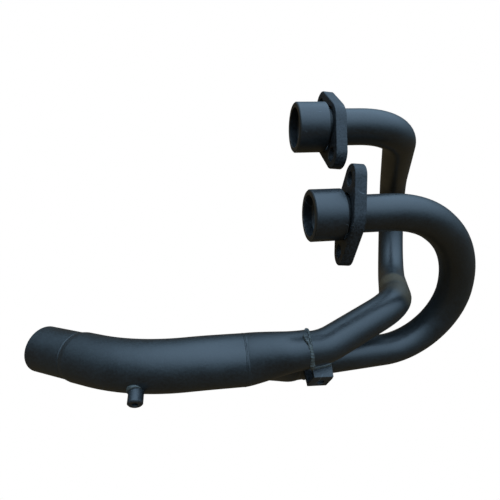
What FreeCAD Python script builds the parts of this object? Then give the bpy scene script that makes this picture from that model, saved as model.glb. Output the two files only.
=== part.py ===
import FreeCAD, Part
import math
import os
import Sketcher
from FreeCAD import Placement, Rotation, Vector

# Two-into-one exhaust header for a motorcycle engine with two exhaust ports.
# Millimetres and degrees. X runs forward along the port axes, Z is up, Y points to the left.
# The origin is the centre of the right port sleeve's mouth, where it seals against the port.

doc = FreeCAD.newDocument("exhaust_header")

# Driving sizes
SIZES = [
    ("primary_od", "28.6", "outside of both primary tubes"),
    ("tube_wall", "1.2", "wall of every tube and pressing"),
    ("fit_clearance", "0.1", "radial room where one tube slides into another"),
    ("sleeve_od", "38.7", "outside of the port sleeves"),
    ("sleeve_length", "24", "port sleeve, mouth to shoulder"),
    ("sleeve_mouth_bore", "30.6", "bore at the mouth of a port sleeve"),
    ("sleeve_mouth_depth", "7", "depth of that bore, with a cone down to the socket behind it"),
    ("tube_recess", "9.5", "tube ends this far behind the sleeve's mouth"),
    ("sleeve_chamfer", "0.8", "edge break on the sleeves"),
    ("left_port_x", "-1.5", "left port from the right one, along the port axes"),
    ("left_port_y", "55", "left port axis from the right one, across"),
    ("left_port_z", "52.1", "left port axis from the right one, up"),
    ("plate_thickness", "9", "two-hole clamp plates"),
    ("plate_bore", "35", "bore of a clamp plate, loose on its tube"),
    ("plate_waist_radius", "21", "middle of a clamp plate"),
    ("plate_lug_radius", "10.9", "rounded ends of a clamp plate"),
    ("stud_spacing", "55.2", "between the two stud holes of a plate"),
    ("stud_hole", "11", "stud hole diameter"),
    ("plate_gap", "0.3", "least gap between sleeve shoulder and plate"),
    ("plate_edge", "0.8", "edge break on the plates"),
    ("right_plate_clock", "9.5", "stud line of the right plate, from Z towards Y"),
    ("left_plate_clock", "58", "stud line of the left plate, from Z towards Y"),
    ("right_plate_tip", "3.5", "right plate hangs loose and leans forward at the top"),
    ("left_plate_tip", "5.5", "left plate hangs loose and leans forward at the top"),
    ("right_plate_turn", "-4.5", "right plate turned about Z"),
    ("left_plate_turn", "0", "left plate turned about Z"),
    ("right_plate_y", "-2.2", "right plate hangs off centre, across"),
    ("right_plate_z", "-0.5", "right plate hangs off centre, up"),
    ("left_plate_y", "0.6", "left plate hangs off centre, across"),
    ("left_plate_z", "-1.1", "left plate hangs off centre, up"),
    ("tail_od", "42.4", "outside of the tail tube"),
    ("seam_x", "-50.4", "centre of the collector's butt joint with the tail"),
    ("seam_y", "-22.7", ""),
    ("seam_z", "-115.6", ""),
    ("right_mouth_x", "3", "centre of the collector's right mouth"),
    ("right_mouth_y", "-9.1", ""),
    ("right_mouth_z", "-137.5", ""),
    ("left_mouth_x", "1.1", "centre of the collector's left mouth"),
    ("left_mouth_y", "-27.9", ""),
    ("left_mouth_z", "-105.3", ""),
    ("socket_depth", "7", "straight socket behind each mouth"),
    ("tube_end_gap", "0.5", "gap between tube end and socket floor"),
    ("left_lobe_dive", "0.15", "slope at which the left lobe comes down into the trunk"),
    ("right_lobe_dive", "0", "the same for the right lobe"),
    ("run_out_share", "0.62", "end of the right lobe inside the trunk, as a share of the tail's radius"),
    ("run_out_gap", "4", "right lobe ends this far before the butt joint"),
    ("lobe_spare", "6", "each lobe is drawn this much too long and trimmed square at the trunk's end"),
    ("left_trim_turn", "-4.2", "left mouth is trimmed square to the trunk: plane turned about Z"),
    ("left_trim_rise", "7.8", "and leaned back this far"),
    ("left_trim_ahead", "1.3", "trimming plane ahead of the left mouth's centre"),
    ("left_socket_reach", "9", "left socket is drawn this much longer and then trimmed"),
    ("right_socket_reach", "0", "the right mouth is square to its own tube"),
    ("seam_crown", "0.2", "height of the dressed butt weld"),
    ("outlet_length", "40", "outlet stub beyond the tail tube"),
    ("outlet_overlap", "12", "outlet stub inside the tail tube"),
    ("tail_lip_length", "5", "rolled-in lip at the end of the tail tube"),
    ("tail_lip_drop", "0.9", "how far the lip is rolled in"),
    ("outlet_bead", "1.3", "length of the weld at the lip"),
    ("outlet_swell", "0.25", "the stub's free part is sized this much larger for the silencer"),
    ("boss_od", "11.8", "heat shield boss on the tail tube"),
    ("boss_reach", "11.4", "boss face above the tail tube's surface"),
    ("boss_tap_drill", "5", "tapping hole of the boss"),
    ("boss_tap_depth", "9", "depth of the tapping hole"),
    ("drill_point", "31", "slope of the cone that the drill leaves at its bottom"),
    ("boss_station_x", "-136", "place of the boss along the tail tube"),
    ("shield_dip", "12.5", "both heat shield bolts point this far below the horizontal"),
    ("boss_root", "4", "the boss is shaped from this far below the tube's surface"),
    ("bead_belly", "0.7", "fullness of a weld bead, as a share of its leg"),
    ("bead_leg", "2.4", "leg of the ring welds at the collector's mouths"),
    ("boss_bead", "1.6", "leg of the weld round the boss"),
    ("sleeve_bead", "1.5", "leg of the weld inside each port sleeve"),
    ("bracket_x", "12.1", "middle of the bracket's outer face"),
    ("bracket_y", "-39.9", ""),
    ("bracket_z", "-130.4", ""),
    ("bracket_sheet", "2", "sheet the bracket is folded from"),
    ("bracket_height", "13.5", "height of its outer face"),
    ("bracket_width", "16.4", "width of its outer face"),
    ("bracket_rake", "2.8", "how far its lower edge is shifted back"),
    ("bracket_shoulder", "3.7", "its front edge starts to slant this far above the middle"),
    ("bracket_hole", "6.4", "bolt hole in its outer face"),
    ("bracket_hole_x", "-0.6", "bolt hole from the middle of the face, along it"),
    ("bracket_hole_z", "-1.2", "bolt hole from the middle of the face, up"),
    ("bracket_turn", "6", "bracket follows the right tube's slope"),
    ("bracket_flare", "2", "upper leg is wider than the face by this at the tube"),
    ("upper_leg_rise", "9.5", "slope of the bracket's upper leg from square to the face"),
    ("upper_leg_length", "18", "before it is trimmed to the tube"),
    ("lower_leg_length", "20", "before it is trimmed to the tube"),
    ("bracket_bead", "1.7", "radius of the bracket's weld runs"),
    ("upper_run_start_x", "5.8", "ends of the weld run above the upper leg"),
    ("upper_run_start_y", "-34.9", ""),
    ("upper_run_start_z", "-119.2", ""),
    ("upper_run_end_x", "20.6", ""),
    ("upper_run_end_y", "-31.8", ""),
    ("upper_run_end_z", "-119.7", ""),
    ("lower_run_start_x", "4.6", "ends of the weld run below the lower leg"),
    ("lower_run_start_y", "-25.7", ""),
    ("lower_run_start_z", "-134.5", ""),
    ("lower_run_end_x", "14.5", ""),
    ("lower_run_end_y", "-22.3", ""),
    ("lower_run_end_z", "-134.65", ""),
    ("trim_margin", "1", "spare on an outline that trims another"),
]

# Bends of the three tubes as a tube bender reads them: corner of the centre line and bend radius
RIGHT_BENDS = [
    ("right_bend_a", 88.7, 0.0, 0.0, 74.6),
    ("right_bend_b", 142.6, 9.6, -40.2, 91.0),
    ("right_bend_c", 157.1, 12.4, -150.9, 57.4),
]
LEFT_BENDS = [
    ("left_bend_a", 89.7, 55.0, 52.1, 58.0),
    ("left_bend_b", 158.9, 171.7, -48.9, 58.8),
    ("left_bend_c", 151.3, 123.0, -136.6, 58.8),
    ("left_bend_d", 89.3, 2.5, -89.7, 47.0),
    ("left_bend_e", 16.5, -24.3, -108.0, 50.0),
]
TAIL_BENDS = [
    ("tail_bend_a", -82.4, -23.5, -114.1, 161.0),
    ("tail_bend_b", -137.3, -20.6, -117.7, 169.0),
    ("tail_end", -189.8, 9.7, -127.3, 0.0),
]

sheet = doc.addObject("Spreadsheet::Sheet", "Sizes")


def add_size(row, name, value, note):
    sheet.set(f"A{row}", name)
    sheet.set(f"B{row}", value)
    sheet.setAlias(f"B{row}", name)
    sheet.set(f"C{row}", note)


rows = list(SIZES)
for corner, x, y, z, radius in RIGHT_BENDS + LEFT_BENDS + TAIL_BENDS:
    rows += [
        (f"{corner}_x", str(x), "corner of a tube's centre line"),
        (f"{corner}_y", str(y), ""),
        (f"{corner}_z", str(z), ""),
    ]
    if radius:
        rows.append((f"{corner}_radius", str(radius), "bend radius at that corner"))
for number, (name, value, note) in enumerate(rows, start=1):
    add_size(number, name, value, note)
doc.recompute()


def size(name):
    return float(sheet.get(name))


def point(name):
    return Vector(size(f"{name}_x"), size(f"{name}_y"), size(f"{name}_z"))


def heading(start, end):
    return (end - start).normalize()


def facing(origin, direction, upright=Vector(0, 0, 1)):
    """Placement whose Z axis runs along direction and whose Y axis leans towards upright."""
    return Placement(origin, Rotation(Vector(), upright, direction, "ZYX"))


# Drawing helpers
def centre_line(name, points, radii):
    """Wire of straight runs joined by tangent arcs."""
    edges = []
    here = points[0]
    for index, radius in enumerate(radii, start=1):
        corner = points[index]
        before = heading(points[index - 1], corner)
        after = heading(corner, points[index + 1])
        half_turn = before.getAngle(after) / 2
        setback = radius * math.tan(half_turn)
        start = corner - before * setback
        end = corner + after * setback
        inward = (after - before).normalize()
        middle = corner + inward * (radius / math.cos(half_turn) - radius)
        edges.append(Part.makeLine(here, start))
        edges.append(Part.Arc(start, middle, end).toShape())
        here = end
    edges.append(Part.makeLine(here, points[-1]))
    line = doc.addObject("Part::Feature", name)
    line.Shape = Part.Wire(edges)
    return line


def circle(name, radius_rule, placement):
    ring = doc.addObject("Part::Circle", name)
    ring.setExpression("Radius", radius_rule)
    ring.Placement = placement
    return ring


def sweep(name, line, radius_rule):
    first = line.Shape.Edges[0]
    start = first.valueAt(first.FirstParameter)
    ring = circle(f"{name}_ring", radius_rule, facing(start, first.tangentAt(first.FirstParameter)))
    swept = doc.addObject("Part::Sweep", name)
    swept.Sections = [ring]
    swept.Spine = (line, [f"Edge{number}" for number in range(1, len(line.Shape.Edges) + 1)])
    swept.Solid = True
    swept.Frenet = False
    return swept


def loft(name, rings):
    lofted = doc.addObject("Part::Loft", name)
    lofted.Sections = rings
    lofted.Solid = True
    lofted.Ruled = False
    return lofted


def cylinder(name, radius_rule, height_rule, placement):
    barrel = doc.addObject("Part::Cylinder", name)
    barrel.setExpression("Radius", radius_rule)
    barrel.setExpression("Height", height_rule)
    barrel.Placement = placement
    return barrel


def fuse(name, shapes):
    joined = doc.addObject("Part::MultiFuse", name)
    joined.Shapes = shapes
    return joined


def cut(name, base, tool):
    remainder = doc.addObject("Part::Cut", name)
    remainder.Base = base
    remainder.Tool = tool
    return remainder


def new_body(name):
    return doc.addObject("PartDesign::Body", name)


def sketch_on(body, name, role):
    sketch = body.newObject("Sketcher::SketchObject", name)
    plane = next(f for f in body.Origin.OriginFeatures if f.Role == role)
    sketch.AttachmentSupport = [(plane, "")]
    sketch.MapMode = "FlatFace"
    return sketch


def bound(sketch, constraint, rule):
    """Adds a named dimension whose value follows the sheet."""
    number = sketch.addConstraint(constraint)
    sketch.renameConstraint(number, f"d{number}")
    sketch.setExpression(f"Constraints.d{number}", rule)


def polygon(sketch, corners):
    """Closed outline; each corner is a pair of rules for its X and Y."""
    places = [Vector(float(sheet.evalExpression(x)), float(sheet.evalExpression(y)), 0)
              for x, y in corners]
    count = len(places)
    for index in range(count):
        sketch.addGeometry(Part.LineSegment(places[index], places[(index + 1) % count]), False)
    for index in range(count):
        sketch.addConstraint(Sketcher.Constraint("Coincident", index, 2, (index + 1) % count, 1))
    for index, (x, y) in enumerate(corners):
        bound(sketch, Sketcher.Constraint("DistanceX", -1, 1, index, 1, places[index].x), x)
        bound(sketch, Sketcher.Constraint("DistanceY", -1, 1, index, 1, places[index].y), y)


def turned(name, corners, placement):
    """Body turned about its own Z axis from an outline of radius and height rules."""
    body = new_body(name)
    sketch = sketch_on(body, f"{name}_outline", "XZ_Plane")
    polygon(sketch, corners)
    turn = body.newObject("PartDesign::Revolution", f"{name}_turn")
    turn.Profile = sketch
    turn.ReferenceAxis = (sketch, ["V_Axis"])
    turn.Angle = 360
    body.Placement = placement
    return body


# Places worked out from the driving sizes
forward = Vector(1, 0, 0)
right_port = Vector(0, 0, 0)
left_port = point("left_port")
seam = point("seam")
tail_flow = heading(seam, point("tail_bend_a"))
right_mouth = point("right_mouth")
left_mouth = point("left_mouth")
right_flow = heading(point("right_bend_c"), right_mouth)
left_flow = heading(point("left_bend_e"), left_mouth)
tube_insert = size("socket_depth") - size("tube_end_gap")

TUBE_OUTER = "Sizes.primary_od / 2"
TUBE_INNER = "Sizes.primary_od / 2 - Sizes.tube_wall"
SOCKET_INNER = "Sizes.primary_od / 2 + Sizes.fit_clearance"
SOCKET_OUTER = "Sizes.primary_od / 2 + Sizes.fit_clearance + Sizes.tube_wall"
TAIL_OUTER = "Sizes.tail_od / 2"
TAIL_INNER = "Sizes.tail_od / 2 - Sizes.tube_wall"
OUTLET_OUTER = "Sizes.tail_od / 2 - Sizes.tube_wall - Sizes.fit_clearance"
OUTLET_INNER = "Sizes.tail_od / 2 - 2 * Sizes.tube_wall - Sizes.fit_clearance"


# Port sleeves: turned collars that slide into the cylinder head and trap the clamp plates
def port_sleeve(side, port):
    edge = "Sizes.sleeve_chamfer"
    outer = "Sizes.sleeve_od / 2"
    mouth = "Sizes.sleeve_mouth_bore / 2"
    return turned(f"{side}_port_sleeve", [
        (mouth, "0"),
        (f"{outer} - {edge}", "0"),
        (outer, edge),
        (outer, f"Sizes.sleeve_length - {edge}"),
        (f"{outer} - {edge}", "Sizes.sleeve_length"),
        (SOCKET_INNER, "Sizes.sleeve_length"),
        (SOCKET_INNER, f"Sizes.sleeve_mouth_depth + {mouth} - ({SOCKET_INNER})"),
        (mouth, "Sizes.sleeve_mouth_depth"),
    ], facing(port, forward))


# Weld inside each sleeve, in the corner between the tube's end and the socket
def sleeve_weld(side, port):
    leg = f"({SOCKET_INNER} - ({TUBE_INNER}))"
    return turned(f"{side}_sleeve_weld", [
        (SOCKET_INNER, "Sizes.tube_recess"),
        (TUBE_INNER, "Sizes.tube_recess"),
        (f"{SOCKET_INNER} - {leg} * Sizes.bead_belly",
         "Sizes.tube_recess - Sizes.sleeve_bead * Sizes.bead_belly"),
        (SOCKET_INNER, "Sizes.tube_recess - Sizes.sleeve_bead"),
    ], facing(port, forward))


# Clamp plates: two-stud plates that hang loose on the tubes behind the sleeves
def clamp_plate(side, port):
    body = new_body(f"{side}_port_flange")
    sketch = sketch_on(body, f"{side}_plate_outline", "XY_Plane")
    reach = size("stud_spacing") / 2
    lug = size("plate_lug_radius")
    waist = size("plate_waist_radius")
    lean = math.asin((waist - lug) / reach)
    flank = Vector(math.cos(lean), math.sin(lean), 0)
    quarter = math.pi / 2

    def arc(centre, radius, start, end):
        return Part.ArcOfCircle(Part.Circle(centre, Vector(0, 0, 1), radius), start, end)

    middle = Vector()
    top = Vector(0, reach, 0)
    bottom = Vector(0, -reach, 0)
    mirrored = Vector(-flank.x, flank.y, 0)
    lines = [
        (middle + flank * waist, top + flank * lug),
        (top + mirrored * lug, middle + mirrored * waist),
        (middle - flank * waist, bottom - flank * lug),
        (bottom - mirrored * lug, middle - mirrored * waist),
    ]
    outline = [
        arc(middle, waist, -lean, lean),
        Part.LineSegment(*lines[0]),
        arc(top, lug, lean, 2 * quarter - lean),
        Part.LineSegment(*lines[1]),
        arc(middle, waist, 2 * quarter - lean, 2 * quarter + lean),
        Part.LineSegment(*lines[2]),
        arc(bottom, lug, 2 * quarter + lean, 4 * quarter - lean),
        Part.LineSegment(*lines[3]),
    ]
    sketch.addGeometry(outline, False)
    for index in range(len(outline)):
        follower = (index + 1) % len(outline)
        sketch.addConstraint(Sketcher.Constraint("Tangent", index, 2, follower, 1))
    for waist_arc in (0, 4):
        sketch.addConstraint(Sketcher.Constraint("Coincident", waist_arc, 3, -1, 1))
    for lug_arc in (2, 6):
        sketch.addConstraint(Sketcher.Constraint("PointOnObject", lug_arc, 3, -2))
    sketch.addConstraint(Sketcher.Constraint("Equal", 2, 6))
    bound(sketch, Sketcher.Constraint("Radius", 0, waist), "Sizes.plate_waist_radius")
    bound(sketch, Sketcher.Constraint("Radius", 2, lug), "Sizes.plate_lug_radius")
    bound(sketch, Sketcher.Constraint("DistanceY", -1, 1, 2, 3, reach), "Sizes.stud_spacing / 2")
    bound(sketch, Sketcher.Constraint("DistanceY", 6, 3, -1, 1, reach), "Sizes.stud_spacing / 2")
    bore = sketch.addGeometry(Part.Circle(middle, Vector(0, 0, 1), size("plate_bore") / 2), False)
    sketch.addConstraint(Sketcher.Constraint("Coincident", bore, 3, -1, 1))
    bound(sketch, Sketcher.Constraint("Diameter", bore, size("plate_bore")), "Sizes.plate_bore")
    for lug_arc, centre in ((2, top), (6, bottom)):
        hole = sketch.addGeometry(Part.Circle(centre, Vector(0, 0, 1), size("stud_hole") / 2), False)
        sketch.addConstraint(Sketcher.Constraint("Coincident", hole, 3, lug_arc, 3))
        bound(sketch, Sketcher.Constraint("Diameter", hole, size("stud_hole")), "Sizes.stud_hole")
    pad = body.newObject("PartDesign::Pad", f"{side}_plate_pad")
    pad.Profile = sketch
    pad.setExpression("Length", "Sizes.plate_thickness")
    doc.recompute()
    rims = [f"Edge{number}" for number, edge in enumerate(pad.Shape.Edges, start=1)
            if outside_rim(edge, pad.Shape)]
    rounding = body.newObject("PartDesign::Fillet", f"{side}_plate_edges")
    rounding.Base = (pad, rims)
    rounding.setExpression("Radius", "Sizes.plate_edge")
    body.Placement = plate_placement(side, port)
    return body


def outside_rim(edge, shape):
    """True for the edges round the plate's outline, on either face."""
    middle = edge.valueAt((edge.FirstParameter + edge.LastParameter) / 2)
    level = all(abs(vertex.Z - middle.z) < 1e-6 for vertex in edge.Vertexes)
    full_circle = len(edge.Vertexes) == 1
    return level and not full_circle


def plate_placement(side, port):
    clock = size(f"{side}_plate_clock")
    tip = Rotation(Vector(0, 1, 0), size(f"{side}_plate_tip"))
    turn = Rotation(Vector(0, 0, 1), size(f"{side}_plate_turn"))
    lean = turn.multiply(tip)
    normal = lean.multVec(forward)
    stud_line = lean.multVec(Vector(0, math.sin(math.radians(clock)), math.cos(math.radians(clock))))
    hang = Vector(0, size(f"{side}_plate_y"), size(f"{side}_plate_z"))
    # the leaning plate keeps its gap to the sleeve's shoulder at the nearest point of the shoulder
    slope = math.acos(normal.dot(forward))
    shoulder = size("sleeve_od") / 2 * math.sin(slope)
    seat = size("sleeve_length") + shoulder + size("plate_gap")
    return facing(port + hang + Vector(seat, 0, 0), normal, stud_line)


# Primary tubes
def primary_tube(side, port, bends, mouth, flow):
    start = port + forward * size("tube_recess")
    corners = [start] + [point(corner[0]) for corner in bends] + [mouth + flow * tube_insert]
    radii = [size(f"{corner[0]}_radius") for corner in bends]
    line = centre_line(f"{side}_tube_line", corners, radii)
    outer = sweep(f"{side}_tube_outside", line, TUBE_OUTER)
    inner = sweep(f"{side}_tube_inside", line, TUBE_INNER)
    return cut(f"{side}_primary_tube", outer, inner), outer


# Collector: two lobes that swell and run together into the tail's round section
def lobe_sections(name, start, start_way, end, dive, radii, wall_rule):
    """Circles along a smooth curve from the throat of a mouth to the trunk, and one beyond it."""
    leave = start_way * (end - start).Length
    arrive = (tail_flow - Vector(0, 0, dive)) * (end - start).Length
    rings = []
    for number, radius_rule in enumerate(radii):
        share = number / (len(radii) - 1)
        place = (start * (2 * share**3 - 3 * share**2 + 1)
                 + leave * (share**3 - 2 * share**2 + share)
                 + end * (3 * share**2 - 2 * share**3)
                 + arrive * (share**3 - share**2))
        way = (start * (6 * share**2 - 6 * share)
               + leave * (3 * share**2 - 4 * share + 1)
               + end * (6 * share - 6 * share**2)
               + arrive * (3 * share**2 - 2 * share)).normalize()
        if share == 1:
            way = tail_flow
        rings.append(circle(f"{name}_{number}", f"{radius_rule} - {wall_rule}", facing(place, way)))
    spare_end = end + tail_flow * size("lobe_spare")
    rings.append(circle(f"{name}_spare", f"{radii[-1]} - {wall_rule}", facing(spare_end, tail_flow)))
    return rings


def lobe(name, side, mouth, flow, end, radii, wall_rule):
    """One lobe with its straight socket, as a solid; wall_rule is what its radii are reduced by."""
    throat = mouth + flow * size("socket_depth")
    dive = size(f"{side}_lobe_dive")
    body = loft(f"{name}_loft", lobe_sections(f"{name}_ring", throat, flow, end, dive, radii, wall_rule))
    socket = cylinder(f"{name}_socket", f"{SOCKET_OUTER} - {wall_rule}",
                      f"Sizes.socket_depth + Sizes.{side}_socket_reach",
                      facing(mouth - flow * size(f"{side}_socket_reach"), flow))
    return [body, socket]


def blend(share):
    """Radius part way between socket and trunk."""
    return f"({SOCKET_OUTER} + ({TAIL_OUTER} - ({SOCKET_OUTER})) * {share})"


trunk_end = seam - tail_flow * size("bead_leg") / 4
left_radii = [blend(0), blend(0.16), blend(0.48), blend(0.8), blend(1)]
# the right lobe runs out inside the trunk, so its far end is smaller than the trunk's bore
right_radii = [blend(0), blend(0.06), blend(0.06), blend(0), f"({TAIL_OUTER} * Sizes.run_out_share)"]
right_run_out = trunk_end - tail_flow * size("run_out_gap")
left_course = ("left", left_mouth, left_flow, trunk_end, left_radii)
right_course = ("right", right_mouth, right_flow, right_run_out, right_radii)
left_shell = lobe("left_lobe", *left_course, "0")
right_shell = lobe("right_lobe", *right_course, "0")
left_passage = lobe("left_passage", *left_course, "Sizes.tube_wall")
right_passage = lobe("right_passage", *right_course, "Sizes.tube_wall")
collector_blank = fuse("collector_blank", left_shell + right_shell)
trim_turn = Rotation(Vector(0, 0, 1), size("left_trim_turn"))
trim_normal = trim_turn.multiply(Rotation(Vector(0, 1, 0), -size("left_trim_rise"))).multVec(forward)
trim_centre = left_mouth - left_flow * size("left_trim_ahead")
mouth_trimmer = cylinder("mouth_trimmer", "Sizes.tail_od", "Sizes.tail_od",
                         facing(trim_centre, trim_normal))
trunk_trimmer = cylinder("trunk_trimmer", "Sizes.tail_od", "Sizes.tail_od", facing(trunk_end, tail_flow))
collector_outside = cut("collector_outside", collector_blank,
                        fuse("collector_trimmer", [mouth_trimmer, trunk_trimmer]))
collector_inside = fuse("collector_inside", left_passage + right_passage)
merge_collector = cut("merge_collector", collector_outside, collector_inside)

right_sleeve = port_sleeve("right", right_port)
left_sleeve = port_sleeve("left", left_port)
right_sleeve_weld = sleeve_weld("right", right_port)
left_sleeve_weld = sleeve_weld("left", left_port)
right_flange = clamp_plate("right", right_port)
left_flange = clamp_plate("left", left_port)
right_tube, right_tube_outside = primary_tube("right", right_port, RIGHT_BENDS, right_mouth, right_flow)
left_tube, left_tube_outside = primary_tube("left", left_port, LEFT_BENDS, left_mouth, left_flow)

# Tail tube: bent pipe from the collector's seam to its rolled-in lip
tail_start = seam + tail_flow * size("bead_leg") / 4
tail_corners = [tail_start] + [point(corner[0]) for corner in TAIL_BENDS]
tail_radii = [size(f"{corner[0]}_radius") for corner in TAIL_BENDS[:-1]]
tail_line = centre_line("tail_line", tail_corners, tail_radii)
tail_outside = sweep("tail_outside", tail_line, TAIL_OUTER)
tail_inside = sweep("tail_inside", tail_line, TAIL_INNER)
tail_pipe = cut("tail_pipe", tail_outside, tail_inside)
tail_end = point("tail_end")
outlet_flow = heading(point("tail_bend_b"), tail_end)
lip_start = tail_end - outlet_flow * size("tail_lip_length")
lip_shaper = turned("tail_lip_shaper", [
    (TAIL_OUTER, "0"),
    (f"{TAIL_OUTER} - Sizes.tail_lip_drop * 0.5", "Sizes.tail_lip_length * 0.7"),
    (f"{TAIL_OUTER} - Sizes.tail_lip_drop", "Sizes.tail_lip_length"),
    (f"{TAIL_OUTER} + Sizes.trim_margin", "Sizes.tail_lip_length"),
    (f"{TAIL_OUTER} + Sizes.trim_margin", "0"),
], facing(lip_start, outlet_flow))
tail_tube = cut("tail_tube", tail_pipe, lip_shaper)

# Butt weld between collector and tail, dressed almost flush
seam_weld = turned("collector_seam_weld", [
    (TAIL_INNER, "0"),
    (TAIL_OUTER, "0"),
    (f"{TAIL_OUTER} + Sizes.seam_crown", "Sizes.bead_leg / 4"),
    (TAIL_OUTER, "Sizes.bead_leg / 2"),
    (TAIL_INNER, "Sizes.bead_leg / 2"),
], facing(trunk_end, tail_flow))

# Outlet stub: thinner pipe pushed into the end of the tail tube
outlet_start = tail_end - outlet_flow * size("outlet_overlap")
outlet_height = "Sizes.outlet_overlap + Sizes.outlet_length"
outlet_neck = "Sizes.outlet_overlap + Sizes.outlet_bead"
outlet_spigot = turned("outlet_spigot", [
    (OUTLET_INNER, "0"),
    (OUTLET_OUTER, "0"),
    (OUTLET_OUTER, outlet_neck),
    (f"{OUTLET_OUTER} + Sizes.outlet_swell", f"{outlet_neck} + Sizes.outlet_swell"),
    (f"{OUTLET_OUTER} + Sizes.outlet_swell", outlet_height),
    (OUTLET_INNER, outlet_height),
], facing(outlet_start, outlet_flow))
lip_edge = f"{TAIL_OUTER} - Sizes.tail_lip_drop"
outlet_weld = turned("outlet_weld", [
    (OUTLET_OUTER, "0"),
    (lip_edge, "0"),
    (f"{OUTLET_OUTER} + ({lip_edge} - ({OUTLET_OUTER})) * Sizes.bead_belly",
     "Sizes.outlet_bead * Sizes.bead_belly"),
    (OUTLET_OUTER, "Sizes.outlet_bead"),
], facing(tail_end, outlet_flow))


# Ring weld where the right primary tube enters the collector
right_mouth_weld = turned("right_mouth_weld", [
    (TUBE_OUTER, "0"),
    (f"{TUBE_OUTER} + Sizes.bead_leg * Sizes.bead_belly", "0"),
    (f"{TUBE_OUTER} + Sizes.bead_leg * Sizes.bead_belly^2", "Sizes.bead_leg * Sizes.bead_belly"),
    (TUBE_OUTER, "Sizes.bead_leg"),
], facing(right_mouth, right_flow * -1))

# Weld round the slanted left mouth: a bead laid along the oval where the tube leaves it
slant = trim_normal.getAngle(left_flow * -1)
oval_long_way = (left_flow - trim_normal * left_flow.dot(trim_normal)).normalize()
oval_centre = trim_centre - left_flow * (size("bead_leg") / 4)
oval_placement = facing(oval_centre, trim_normal, trim_normal.cross(oval_long_way))
oval = doc.addObject("Part::Ellipse", "left_mouth_oval")
oval.setExpression("MajorRadius", f"({TUBE_OUTER}) / cos({math.degrees(slant)})")
oval.setExpression("MinorRadius", TUBE_OUTER)
oval.Placement = oval_placement
oval_start = oval_centre + oval_long_way * (size("primary_od") / 2 / math.cos(slant))
bead_ring = circle("left_mouth_bead_ring", "Sizes.bead_leg * Sizes.bead_belly^2 * 1.2",
                   facing(oval_start, trim_normal.cross(oval_long_way), trim_normal))
left_bead = doc.addObject("Part::Sweep", "left_mouth_bead")
left_bead.Sections = [bead_ring]
left_bead.Spine = (oval, ["Edge1"])
left_bead.Solid = True
left_mouth_trim = fuse("left_mouth_trim", [left_tube_outside, collector_outside])
left_mouth_weld = cut("left_mouth_weld", left_bead, left_mouth_trim)

# Rear boss for a heat shield bolt, with its weld; it points the same way as the bracket's bolt hole
boss_aim = Vector(size("boss_station_x"), size("tail_bend_b_y"), size("tail_bend_b_z"))
boss_foot = tail_line.Shape.distToShape(Part.Vertex(boss_aim))[1][0][0]
below = math.radians(size("shield_dip"))
boss_placement = facing(boss_foot, Vector(0, -math.cos(below), -math.sin(below)), forward)
boss_side = "Sizes.boss_od / 2"
boss_root = f"{TAIL_OUTER} - Sizes.boss_root"
boss_face = f"{TAIL_OUTER} + Sizes.boss_reach"
tap_floor = f"{boss_face} - Sizes.boss_tap_depth - Sizes.boss_tap_drill / 2 * tan(Sizes.drill_point)"
boss_blank = turned("boss_blank", [
    ("0", boss_root),
    (boss_side, boss_root),
    (boss_side, f"{boss_face} - Sizes.sleeve_chamfer"),
    (f"{boss_side} - Sizes.sleeve_chamfer", boss_face),
    ("Sizes.boss_tap_drill / 2", boss_face),
    ("Sizes.boss_tap_drill / 2", f"{boss_face} - Sizes.boss_tap_depth"),
    ("0", tap_floor),
], boss_placement)
rear_boss = cut("rear_shield_boss", boss_blank, tail_outside)
boss_bead_blank = turned("boss_bead_blank", [
    (boss_side, boss_root),
    (f"{boss_side} + Sizes.boss_bead", boss_root),
    (f"{boss_side} + Sizes.boss_bead", f"{TAIL_OUTER} + Sizes.boss_bead * (1 - Sizes.bead_belly)"),
    (f"{boss_side} + Sizes.boss_bead * Sizes.bead_belly",
     f"{TAIL_OUTER} + Sizes.boss_bead * Sizes.bead_belly"),
    (boss_side, f"{TAIL_OUTER} + Sizes.boss_bead"),
], boss_placement)
boss_weld = cut("rear_boss_weld", boss_bead_blank, tail_outside)

# Front bracket: folded sheet with a bolt hole, welded across the two lobes
bracket_dip = Rotation(Vector(1, 0, 0), size("shield_dip"))
bracket_turn = Rotation(Vector(0, 1, 0), size("bracket_turn"))
bracket_place = Placement(point("bracket"), bracket_dip.multiply(bracket_turn))
half_height = "Sizes.bracket_height / 2"
sheet_rule = "Sizes.bracket_sheet"
fold = new_body("bracket_fold")
fold_sketch = sketch_on(fold, "bracket_section", "YZ_Plane")
upper_end = "Sizes.upper_leg_length * tan(Sizes.upper_leg_rise)"
inner_fold = f"{sheet_rule} * tan(Sizes.upper_leg_rise)"
polygon(fold_sketch, [
    ("0", f"-{half_height}"),
    ("0", half_height),
    ("Sizes.upper_leg_length", f"{half_height} + {upper_end}"),
    ("Sizes.upper_leg_length", f"{half_height} + {upper_end} - {sheet_rule}"),
    (sheet_rule, f"{half_height} - {sheet_rule} + {inner_fold}"),
    (sheet_rule, f"-{half_height} + {sheet_rule}"),
    ("Sizes.lower_leg_length", f"-{half_height} + {sheet_rule}"),
    ("Sizes.lower_leg_length", f"-{half_height}"),
])
fold_pad = fold.newObject("PartDesign::Pad", "bracket_fold_pad")
fold_pad.Profile = fold_sketch
fold_pad.Midplane = True
fold_pad.setExpression("Length", "Sizes.bracket_width * 2")
fold.Placement = bracket_place

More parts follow.
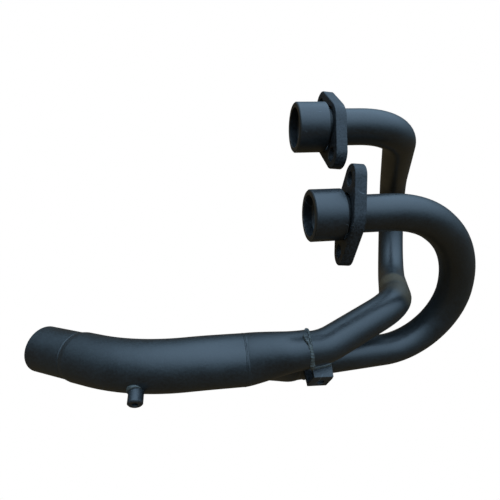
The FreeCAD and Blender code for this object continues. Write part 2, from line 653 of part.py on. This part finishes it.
face = new_body("bracket_face")
face_sketch = sketch_on(face, "bracket_face_outline", "XZ_Plane")
right_edge = "Sizes.bracket_width / 2"
left_edge = "-Sizes.bracket_width / 2"
below_face = f"-{half_height} - Sizes.trim_margin"
above_legs = f"{half_height} + {upper_end} + Sizes.trim_margin"
polygon(face_sketch, [
    (f"{left_edge} - Sizes.bracket_rake", below_face),
    (f"{right_edge} - Sizes.bracket_rake", below_face),
    (right_edge, "Sizes.bracket_shoulder"),
    (right_edge, half_height),
    (f"{right_edge} + Sizes.bracket_flare", above_legs),
    (left_edge, above_legs),
    (left_edge, half_height),
])
hole_x, hole_z = size("bracket_hole_x"), size("bracket_hole_z")
bolt_hole = face_sketch.addGeometry(
    Part.Circle(Vector(hole_x, hole_z, 0), Vector(0, 0, 1), size("bracket_hole") / 2), False)
bound(face_sketch, Sketcher.Constraint("DistanceX", -1, 1, bolt_hole, 3, hole_x), "Sizes.bracket_hole_x")
bound(face_sketch, Sketcher.Constraint("DistanceY", -1, 1, bolt_hole, 3, hole_z), "Sizes.bracket_hole_z")
bound(face_sketch, Sketcher.Constraint("Diameter", bolt_hole, size("bracket_hole")), "Sizes.bracket_hole")
face_pad = face.newObject("PartDesign::Pad", "bracket_face_pad")
face_pad.Profile = face_sketch
face_pad.Midplane = True
face_pad.setExpression("Length", "(Sizes.lower_leg_length + Sizes.trim_margin) * 2")
face.Placement = bracket_place
bracket_blank = doc.addObject("Part::MultiCommon", "bracket_blank")
bracket_blank.Shapes = [fold, face]
header_skin = fuse("header_skin", [collector_outside, right_tube_outside, left_tube_outside])
bracket_trim = fuse("bracket_trim", [header_skin, right_mouth_weld, left_mouth_weld])
front_bracket = cut("front_shield_bracket", bracket_blank, bracket_trim)


# Weld runs along the bracket's two legs
def weld_run(name, start, end):
    rod = doc.addObject("Part::Cylinder", f"{name}_rod")
    rod.setExpression("Radius", "Sizes.bracket_bead")
    rod.Height = (end - start).Length
    rod.Placement = facing(start, heading(start, end), Vector(0, 1, 0))
    return cut(name, rod, fuse(f"{name}_trim", [bracket_trim, front_bracket]))


upper_run = weld_run("bracket_upper_weld", point("upper_run_start"), point("upper_run_end"))
lower_run = weld_run("bracket_lower_weld", point("lower_run_start"), point("lower_run_end"))

PIECES = [
    right_sleeve, left_sleeve, right_sleeve_weld, left_sleeve_weld, right_flange, left_flange,
    right_tube, left_tube, merge_collector, right_mouth_weld, left_mouth_weld, seam_weld,
    tail_tube, outlet_spigot, outlet_weld, rear_boss, boss_weld, front_bracket, upper_run, lower_run,
]

doc.recompute()
for item in doc.Objects:
    if "Invalid" in item.State or "Error" in item.State:
        raise RuntimeError(f"{item.Name} failed: {item.State}")
os.makedirs("parts", exist_ok=True)
for piece in PIECES:
    shape = piece.Shape
    if shape.isNull() or not shape.isValid() or not shape.Solids:
        raise RuntimeError(f"{piece.Name} has no sound solid")
for piece in PIECES:
    piece.Shape.exportStep(f"parts/{piece.Name}.step")
    print(piece.Name, len(piece.Shape.Solids), round(piece.Shape.Volume, 1))
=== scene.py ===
import math

import bpy
from mathutils import Matrix, Vector, noise


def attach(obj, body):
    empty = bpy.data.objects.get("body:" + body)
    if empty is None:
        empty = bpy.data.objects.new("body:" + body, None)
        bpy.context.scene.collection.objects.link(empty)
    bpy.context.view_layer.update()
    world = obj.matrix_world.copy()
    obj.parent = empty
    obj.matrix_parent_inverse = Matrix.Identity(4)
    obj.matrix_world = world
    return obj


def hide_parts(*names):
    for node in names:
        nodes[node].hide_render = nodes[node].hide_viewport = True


# The header keeps the frame of its measured model: metres, X forward, Z up, Y to the left.
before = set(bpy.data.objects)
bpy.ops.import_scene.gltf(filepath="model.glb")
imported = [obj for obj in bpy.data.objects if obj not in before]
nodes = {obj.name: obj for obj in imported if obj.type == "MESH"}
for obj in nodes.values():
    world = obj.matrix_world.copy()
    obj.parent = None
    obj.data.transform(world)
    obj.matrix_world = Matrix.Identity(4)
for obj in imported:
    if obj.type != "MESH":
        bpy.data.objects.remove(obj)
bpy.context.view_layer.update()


# Port sleeves: short collars turned from steel bar, which slide into the engine's two exhaust
# ports. Each is welded to its tube from inside and painted with it, and handling has left faint
# scratches on it. Its edges are lighter and brownish: partly worn paint, partly a painted edge highlight.
def rgb(code):
    """Linear colour with alpha from an sRGB hex code."""
    tones = [int(code[i:i + 2], 16) / 255 for i in (0, 2, 4)]
    return [t / 12.92 if t <= 0.04045 else ((t + 0.055) / 1.055) ** 2.4 for t in tones] + [1.0]


def every(millimetres):
    """Pattern scale, per metre, for a feature of this size."""
    return 1000 / millimetres


def add(tree, kind, feeds=(), **settings):
    """Adds a node. Feeds are (input, socket or constant); settings are input names or attributes."""
    node = tree.nodes.new(kind)
    for name, value in settings.items():
        label = name.replace("_", " ")
        socket = next((s for s in node.inputs if s.name.lower() == label), None)
        if socket is not None:
            socket.default_value = value
        else:
            setattr(node, name, value)
    for name, source in feeds:
        if isinstance(source, bpy.types.NodeSocket):
            tree.links.new(node.inputs[name], source)
        else:
            node.inputs[name].default_value = source
    return node


def flaws_and_edge_highlight(tree, place, cloud, corner, colour, wear_and_edge_highlight, nib_gap):
    """Paint colour under pale dust nibs and scratches, and brownish edges: wear and painted highlight."""
    # A nib is a grain of dust that was caught in the wet paint.
    nib = add(tree, "ShaderNodeTexVoronoi", [("Vector", place)], scale=every(nib_gap))
    dot = add(tree, "ShaderNodeMapRange", [("Value", nib.outputs["Distance"])],
              from_min=0.012, from_max=0.022, to_min=1.0, to_max=0.0)
    # Scratches follow the level lines of a slow noise, and only show in the lightest clouds.
    rub = add(tree, "ShaderNodeTexNoise", [("Vector", place)], scale=every(26.32), detail=0.5)
    level = add(tree, "ShaderNodeMath", [(0, rub.outputs["Fac"]), (1, 0.5)], operation="SUBTRACT")
    thin = add(tree, "ShaderNodeMath", [(0, level.outputs["Value"])], operation="ABSOLUTE")
    line = add(tree, "ShaderNodeMapRange", [("Value", thin.outputs["Value"])],
               from_min=0.0, from_max=0.006, to_min=1.0, to_max=0.0)
    shown = add(tree, "ShaderNodeMapRange", [("Value", cloud)],
                from_min=0.54, from_max=0.64, to_min=0.0, to_max=wear_and_edge_highlight)
    scratch = add(tree, "ShaderNodeMath", [(0, line.outputs["Result"]), (1, shown.outputs["Result"])],
                  operation="MULTIPLY")
    # Edges are lightened where the rounded corner and the true surface part, concave ones too:
    # partly worn paint, partly a painted edge highlight.
    face = add(tree, "ShaderNodeNewGeometry")
    alike = add(tree, "ShaderNodeVectorMath", [(0, corner), (1, face.outputs["Normal"])],
                operation="DOT_PRODUCT")
    worn_and_highlit_edge = add(tree, "ShaderNodeMapRange", [("Value", alike.outputs["Value"])],
               from_min=0.80, from_max=0.99, to_min=wear_and_edge_highlight, to_max=0.0)
    for share, tone in ((dot.outputs["Result"], "a4adb4"), (scratch.outputs["Value"], "a4adb4"),
                        (worn_and_highlit_edge.outputs["Result"], "7a6f5f")):
        mixed = add(tree, "ShaderNodeMixRGB", [("Fac", share), ("Color1", colour)], color2=rgb(tone))
        colour = mixed.outputs["Color"]
    return colour


def brown_reflection_patch(tree, place, coat, spot, radius, cover):
    """Painted reflection of the brown ground round a spot: browner and duller than the coat, into which it
    fades.
    """
    colour, matt, shine = coat
    near = add(tree, "ShaderNodeVectorMath", [(0, place), (1, spot)], operation="DISTANCE")
    reflection_share = add(tree, "ShaderNodeMapRange", [("Value", near.outputs["Value"])],
               interpolation_type="SMOOTHSTEP",
               from_min=0.4 * radius, from_max=radius, to_min=cover, to_max=0.0).outputs["Result"]
    reflection_tint = add(tree, "ShaderNodeMixRGB", [("Fac", reflection_share), ("Color1", colour)], color2=rgb("7d6d57"))
    dull = add(tree, "ShaderNodeMath", [(0, matt), (1, reflection_share)], operation="ADD")
    bare = add(tree, "ShaderNodeMath", [(0, 1.0), (1, reflection_share)], operation="SUBTRACT")
    dim = add(tree, "ShaderNodeMath", [(0, shine), (1, bare.outputs["Value"])], operation="MULTIPLY")
    return reflection_tint.outputs["Color"], dull.outputs["Value"], dim.outputs["Value"]


def relief(tree, place, peel, corner, grain):
    """The sprayed skin's normal: fine grain, orange peel and slow waves over rounded corners."""
    # Real grain is about a tenth of a millimetre. It is drawn coarser, or it wouldn't show.
    speck = add(tree, "ShaderNodeTexNoise", [("Vector", place)], scale=every(0.3846), detail=2.0)
    dent = add(tree, "ShaderNodeTexNoise", [("Vector", place)], scale=every(11.11), detail=1.0)
    normal = corner
    for height, strength, depth in ((speck.outputs["Fac"], 0.2 * grain, 0.00012),
                                    (peel, 0.16 * grain, 0.0004),
                                    (dent.outputs["Fac"], 0.10, 0.0016)):
        bump = add(tree, "ShaderNodeBump", [("Height", height), ("Normal", normal)],
                   strength=strength, distance=depth)
        normal = bump.outputs["Normal"]
    return normal


# High-temperature matte black paint, sprayed over bare steel and baked. Its slightly rough skin
# spreads the sky's light into broad slate-blue bands; fine grain, dust nibs, thin pale scratches
# and brownish edges, partly worn paint and partly a painted edge highlight, keep those bands
# from looking like plastic.
def paint(name, dark, pale, roughness, grain, wear_and_edge_highlight, gloss=1.0, nib_gap=23.81, reflection_patches=()):
    material = bpy.data.materials.new(name)
    material.use_nodes = True
    tree = material.node_tree
    tree.nodes.clear()
    place = add(tree, "ShaderNodeTexCoord").outputs["Object"]
    # The tone wanders in clouds of two centimetres, with a mottle of a millimetre and a half.
    cloud = add(tree, "ShaderNodeTexNoise", [("Vector", place)],
                scale=every(18.18), detail=4.0, roughness=0.6).outputs["Fac"]
    peel = add(tree, "ShaderNodeTexNoise", [("Vector", place)],
               scale=every(1.538), detail=2.0).outputs["Fac"]
    mottle = add(tree, "ShaderNodeMapRange", [("Value", peel)],
                 from_min=0.36, from_max=0.64, to_min=-0.25 * grain, to_max=0.25 * grain)
    wander = add(tree, "ShaderNodeMath", [(0, mottle.outputs["Result"]), (1, cloud)],
                 operation="ADD", use_clamp=True).outputs["Value"]
    tone = add(tree, "ShaderNodeMixRGB", [("Fac", wander)], color1=rgb(dark), color2=rgb(pale))
    # The paint rounds every corner by about half a millimetre.
    corner = add(tree, "ShaderNodeBevel", samples=6, radius=0.0006).outputs["Normal"]
    coat = (flaws_and_edge_highlight(tree, place, cloud, corner, tone.outputs["Color"], wear_and_edge_highlight, nib_gap), wander, gloss)
    # Each patch is a brownish painted reflection of the brown ground.
    for spot, radius, cover in reflection_patches:
        coat = brown_reflection_patch(tree, place, coat, spot, radius, cover)
    colour, matt, shine = coat
    rough = add(tree, "ShaderNodeMapRange", [("Value", matt)], clamp=False,
                from_min=0.1, from_max=0.9, to_min=roughness - 0.05, to_max=roughness + 0.07)
    shader = add(tree, "ShaderNodeBsdfPrincipled",
                 [("Normal", relief(tree, place, peel, corner, grain)), ("Base Color", colour),
                  ("Roughness", rough.outputs["Result"]), ("Specular IOR Level", shine)])
    add(tree, "ShaderNodeOutputMaterial", [("Surface", shader.outputs["BSDF"])])
    return material


def dress(material, slot, *names):
    """Gives measured pieces their paint and a smooth skin."""
    for name in names:
        piece = nodes[name]
        piece.data.materials.clear()
        piece.data.materials.append(material)
        for face in piece.data.polygons:
            face.use_smooth = True


# On turned steel the paint lies even, a little duller than on the tubes.
sleeve_paint = paint("baked black paint on turned steel", "191c1e", "303437", 0.38, grain=1.1, wear_and_edge_highlight=0.7)
dress(sleeve_paint, "sleeve_paint", "right_port_sleeve", "left_port_sleeve")


# Primary tubes: two thin-walled drawn steel tubes, bent cold on a tube bender, which carry the
# gas down and back from the ports. Round the left one's lower bend a brownish, duller patch is
# painted: a painted reflection of the brown ground.
# On drawn tube the paint is at its smoothest, so the bands of sky lie long and soft along it.
# Two patches of painted reflection of the brown ground: spot, radius and cover of each.
bend_reflection_patch = ((0.107, 0.045, -0.093), 0.026, 0.7)
elbow_reflection_patch = ((0.103, 0.012, -0.085), 0.022, 0.6)
tube_paint = paint("baked black paint on drawn tube", "1a1c1d", "303435", 0.36, grain=1.0, wear_and_edge_highlight=0.0,
                   reflection_patches=[bend_reflection_patch, elbow_reflection_patch])
dress(tube_paint, "tube_paint", "right_primary_tube", "left_primary_tube")


# Clamp plates: thick steel plates with two ears, cut out, drilled and left loose on the tubes. Two
# studs pull each against its sleeve.
# On cut plate the paint is rough and dull, with a coarse mottle and close nibs, and its edges
# are lighter and brownish: partly worn paint, partly a painted edge highlight.
plate_paint = paint("baked black paint on thick plate", "181a1b", "3c3f42", 0.50, grain=2.2, wear_and_edge_highlight=0.7,
                    gloss=0.6, nib_gap=9.091)
dress(plate_paint, "plate_paint", "right_port_flange", "left_port_flange")


# Merge collector: two pressed steel lobes that join the tubes into one trunk, with a butt weld to
# the tail tube that was ground flush and painted over.
# On pressed steel the paint is as smooth as on tube.
collector_paint = paint("baked black paint on pressed steel", "1a1c1d", "303435", 0.36, grain=1.0, wear_and_edge_highlight=0.0)
dress(collector_paint, "collector_paint", "merge_collector")
dress(collector_paint, "weld_paint", "collector_seam_weld")


# Tail tube and outlet stub: a wide bent steel tube whose lip is rolled in and welded to a thinner
# stub. The silencer slides over the stub. Both wear the same paint as the primary tubes.
dress(tube_paint, "tube_paint", "tail_tube", "outlet_spigot")
dress(tube_paint, "weld_paint", "outlet_weld")


# Heat shield mounts: a turned and tapped boss on the tail tube, and a folded sheet steel bracket
# with a bolt hole between the tubes. Both are welded on before painting.
# On folded sheet the paint is a little duller, and its edges are lighter and brownish:
# partly worn paint, partly a painted edge highlight.
bracket_paint = paint("baked black paint on folded sheet", "191c1f", "363a3d", 0.42, grain=1.3, wear_and_edge_highlight=0.7)
dress(bracket_paint, "bracket_paint", "front_shield_bracket", "rear_shield_boss")


# Welds: beads of filler steel laid by hand in overlapping puddles, so each shows ripples across its
# run and swells where the hand slowed down. Each is grown from its measured bead, in its place.
# Over weld the paint is thin and shows the greyer steel.
weld_paint = paint("baked black paint over weld", "474947", "65675f", 0.44, grain=1.4, wear_and_edge_highlight=0.1)


def bead(name, pitch, ripple, swell, fill=0.0, strokes=()):
    """Replaces a measured bead by a rippled one. Pitch is from ripple to ripple, and ripple, swell
    and fill are heights. A stroke (start, end, radius, push) shifts what lies near its line."""
    source = nodes[name]
    blank = bpy.data.objects.new("blank", source.data.copy())
    blank.data.transform(source.matrix_world)
    bpy.context.scene.collection.objects.link(blank)
    skin = blank.modifiers.new("skin", "REMESH")
    skin.mode = "VOXEL"
    skin.voxel_size = 0.0003
    shape = bpy.data.meshes.new_from_object(blank.evaluated_get(bpy.context.evaluated_depsgraph_get()))
    bpy.data.objects.remove(blank)
    points = [v.co.copy() for v in shape.vertices]
    centre = sum(points, Vector()) / len(points)
    # The run's direction is that of the point farthest from the centre. A bead that also reaches
    # far to the side is a ring round its tube, and along it is then measured by angle.
    offsets = [p - centre for p in points]
    farthest = max(offsets, key=lambda d: d.length)
    reach = farthest.length
    long_way = farthest.normalized()
    widest = max((d - d.dot(long_way) * long_way for d in offsets), key=lambda d: d.length)
    ring = widest.length > 0.5 * reach
    cross_way = widest.normalized()
    side_way = long_way.cross(cross_way)
    # Ripples bow back at a puddle's sides, and wander and swell over about five millimetres.
    puddle_width = 0.0015
    wander_scale = 220
    swell_scale = 170
    for vertex, point, off in zip(shape.vertices, points, offsets):
        along = math.atan2(off.dot(cross_way), off.dot(long_way)) * reach if ring else off.dot(long_way)
        aside = off.dot(side_way) if ring else off.dot(cross_way)
        bow = 0.5 * (aside / puddle_width) ** 2
        turn = along / pitch + bow + 0.5 * noise.noise(point * wander_scale)
        crest = abs(math.sin(math.pi * turn)) - 0.6
        lift = fill + ripple * crest + swell * noise.noise(point * swell_scale)
        spot = point + vertex.normal * lift
        for start, end, radius, push in strokes:
            run = Vector(end) - Vector(start)
            part = min(1.0, max(0.0, (point - Vector(start)).dot(run) / run.length_squared))
            gap = (point - Vector(start) - part * run).length / radius
            spot += Vector(push) * math.exp(-gap * gap)
        vertex.co = spot
    for face in shape.polygons:
        face.use_smooth = True
    piece = bpy.data.objects.new(name.replace("_weld", "_bead"), shape)
    bpy.context.scene.collection.objects.link(piece)
    shape.materials.clear()
    shape.materials.append(weld_paint)
    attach(piece, "root")
    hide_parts(name)


# The left mouth's bead spreads over the collector's edge on its outer side, and ends on top in a
# lump with a long pit beside a ridge, where the arc was broken off.
left_mouth_strokes = {
    "spread": ((-0.0045, -0.0320, -0.0905), (-0.0040, -0.0445, -0.1070), 0.0055, (-0.0040, -0.0012, 0.0012)),
    "sag": ((0.0005, -0.0440, -0.1078), (0.0035, -0.0400, -0.1190), 0.0040, (-0.0008, -0.0005, -0.0003)),
    "lump": ((-0.0045, -0.0230, -0.0903), (-0.0035, -0.0325, -0.0893), 0.0055, (-0.0036, -0.0002, 0.0020)),
    "pit": ((0.0004, -0.0240, -0.0900), (0.0014, -0.0315, -0.0895), 0.0010, (0.0002, 0.0, -0.0024)),
    "ridge": ((0.0026, -0.0225, -0.0905), (0.0042, -0.0315, -0.0905), 0.0013, (0.0, -0.0002, 0.0008)),
}
bead("left_mouth_weld", pitch=0.0026, ripple=0.00030, swell=0.0011, fill=0.0008,
     strokes=left_mouth_strokes.values())
bead("right_mouth_weld", pitch=0.0022, ripple=0.00025, swell=0.0006, fill=0.0003)
bead("rear_boss_weld", pitch=0.0016, ripple=0.00020, swell=0.0004, fill=0.0001)
for bracket_run in ("bracket_upper_weld", "bracket_lower_weld"):
    bead(bracket_run, pitch=0.0018, ripple=0.00022, swell=0.0005, fill=0.0001)
for sleeve_ring in ("left_sleeve_weld", "right_sleeve_weld"):
    bead(sleeve_ring, pitch=0.0014, ripple=0.00008, swell=0.0001)


# Sky: an overcast bluish sky that is brightest overhead and a little forward lights the part. Its
# tone follows the angle to its brightest point, and the camera sees plain white.
def white_to_camera(tree, lit, white, output):
    """Shows the camera the white surface, and every other ray the lit one."""
    ray = add(tree, "ShaderNodeLightPath")
    pick = add(tree, "ShaderNodeMixShader", [("Fac", ray.outputs["Is Camera Ray"]), (1, lit), (2, white)])
    add(tree, output, [("Surface", pick.outputs["Shader"])])


world = bpy.data.worlds.new("sky")
bpy.context.scene.world = world
world.use_nodes = True
heaven = world.node_tree
heaven.nodes.clear()
direction = add(heaven, "ShaderNodeTexCoord").outputs["Generated"]
brightest = (0.25, 0.0, 0.968)
towards = add(heaven, "ShaderNodeVectorMath", [(0, direction), (1, brightest)], operation="DOT_PRODUCT")
spread = add(heaven, "ShaderNodeMapRange", [("Value", towards.outputs["Value"])],
             from_min=-1.0, from_max=1.0)
sky = add(heaven, "ShaderNodeValToRGB", [("Fac", spread.outputs["Result"])])
stops = sky.color_ramp.elements
stops[0].position = 0.46
stops[0].color = rgb("3b3529")
stops[1].position = 0.97
stops[1].color = rgb("badeff")
for position, tone in ((0.56, "353b3e"), (0.70, "617686"), (0.85, "aacdec")):
    stops.new(position).color = rgb(tone)
light = add(heaven, "ShaderNodeBackground", [("Color", sky.outputs["Color"])], strength=1.7)
plain = add(heaven, "ShaderNodeBackground", color=rgb("ffffff"), strength=1.0)
white_to_camera(heaven, light.outputs["Background"], plain.outputs["Background"], "ShaderNodeOutputWorld")


# Floor: a plain pale sheet well below the part. The camera sees it white, and the part gets the
# brown earth's light from it.
reach = 4.0
level = -0.6
corners = [(-reach, -reach, level), (reach, -reach, level), (reach, reach, level), (-reach, reach, level)]
sheet = bpy.data.meshes.new("floor")
sheet.from_pydata(corners, [], [(0, 1, 2, 3)])
floor = bpy.data.objects.new("floor", sheet)
bpy.context.scene.collection.objects.link(floor)
earth = bpy.data.materials.new("pale sheet over brown earth")
earth.use_nodes = True
soil = earth.node_tree
soil.nodes.clear()
brown = add(soil, "ShaderNodeEmission", color=rgb("504938"), strength=1.0)
pale = add(soil, "ShaderNodeEmission", color=rgb("ffffff"), strength=1.0)
white_to_camera(soil, brown.outputs["Emission"], pale.outputs["Emission"], "ShaderNodeOutputMaterial")
sheet.materials.append(earth)


# Lamp: one wide soft panel overhead helps the bright part of the sky.
panel = bpy.data.lights.new("panel", "AREA")
panel.shape = "DISK"
panel.size = 1.6
panel.energy = 1.5
panel.color = rgb("bfe0ff")[:3]
lamp = bpy.data.objects.new("panel", panel)
lamp.location = (0.15, 0.2, 1.0)
lamp.rotation_mode = "QUATERNION"
middle = Vector((0.0, 0.05, -0.08))
lamp.rotation_quaternion = (middle - lamp.location).to_track_quat("-Z", "Y")
bpy.context.scene.collection.objects.link(lamp)


# Camera: a wide lens held close on the header's right side, looking across it and down.
lens = bpy.data.cameras.new("camera")
lens.sensor_width = 36
lens.lens = 27
lens.clip_start = 0.01
heading = Matrix.Rotation(math.radians(-8.261), 4, "Z")
tilt = Matrix.Rotation(math.radians(60.875), 4, "X")
roll = Matrix.Rotation(math.radians(0.973), 4, "Z")
eye = bpy.data.objects.new("camera", lens)
eye.matrix_world = Matrix.Translation((-0.07883, -0.24501, 0.11181)) @ heading @ tilt @ roll
bpy.context.scene.collection.objects.link(eye)
bpy.context.scene.camera = eye

bpy.context.scene.view_settings.view_transform = "Standard"
